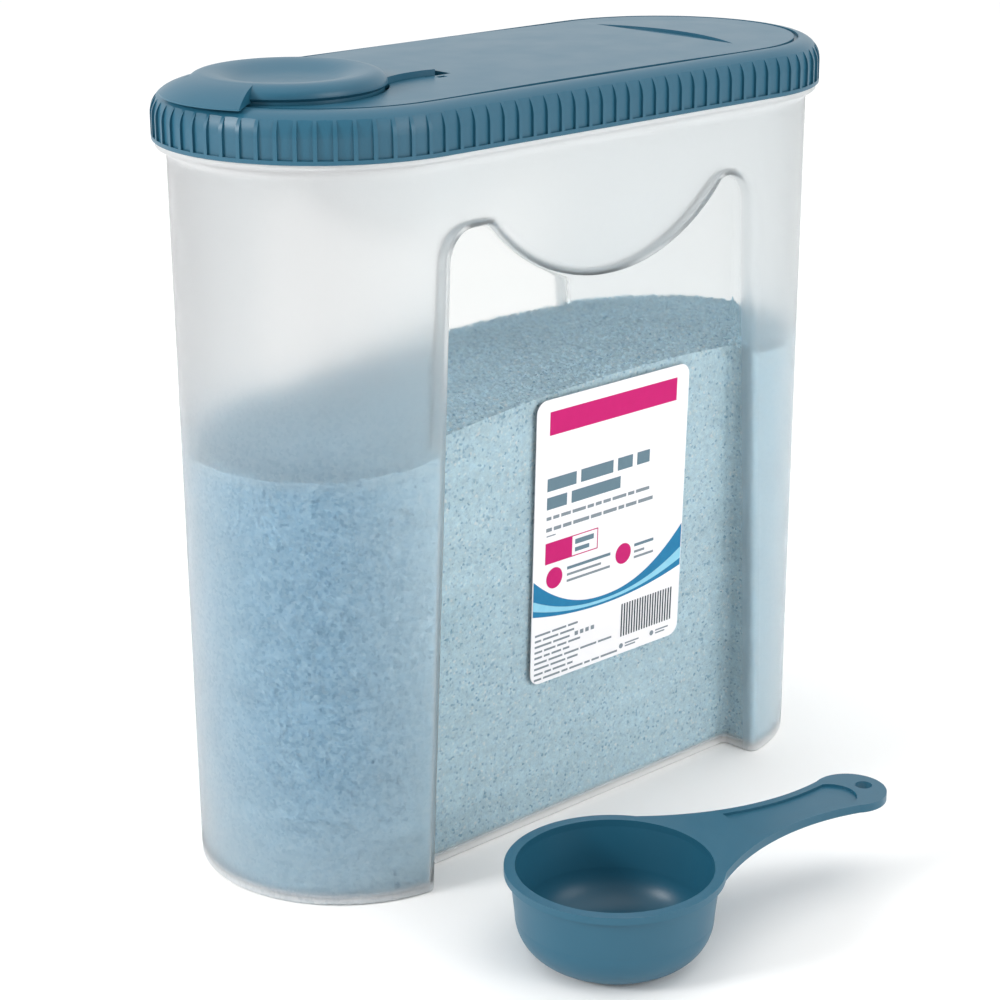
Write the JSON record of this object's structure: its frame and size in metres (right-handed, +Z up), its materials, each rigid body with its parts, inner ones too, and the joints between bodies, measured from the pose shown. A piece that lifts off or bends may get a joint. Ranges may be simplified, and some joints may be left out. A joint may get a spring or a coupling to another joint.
{
  "type": "washing powder dispenser",
  "caption": "Tall see-through washing powder container with round ends, recessed grip panels, a push-on ribbed lid with a hinged flip cap over its pour opening, and a loose dosing scoop.",
  "frame": {"origin": "centre of the container's underside, on the surface it stands on", "axes": "+X along the container's length away from the pour opening, +Y away from the labelled side, +Z up"},
  "size_m": [0.2408, 0.193, 0.246],
  "materials": {
    "frosted_wall": "milky translucent polypropylene, satin",
    "blue_closure": "satin slate-blue polypropylene",
    "powder": "granular pale blue powder with white grains",
    "label_film": "white printed film sticker"
  },
  "bodies": {
    "container": {"container": "frosted_wall", "powder": "powder", "label": "label_film", "scoop": "blue_closure"},
    "lid": {"lid": "blue_closure"},
    "flip_cap": {"flip_cap": "blue_closure"}
  },
  "joints": [
    {"name": "lid_lift", "type": "slide", "parent": "container", "child": "lid", "axis": [0, 0, 1], "range_m": [0, 0.12]},
    {"name": "cap_hinge", "type": "hinge", "parent": "lid", "child": "flip_cap", "pos_m": [-0.041, 0, 0.2392], "axis": [0, 1, 0], "range_deg": [0, 115]}
  ]
}
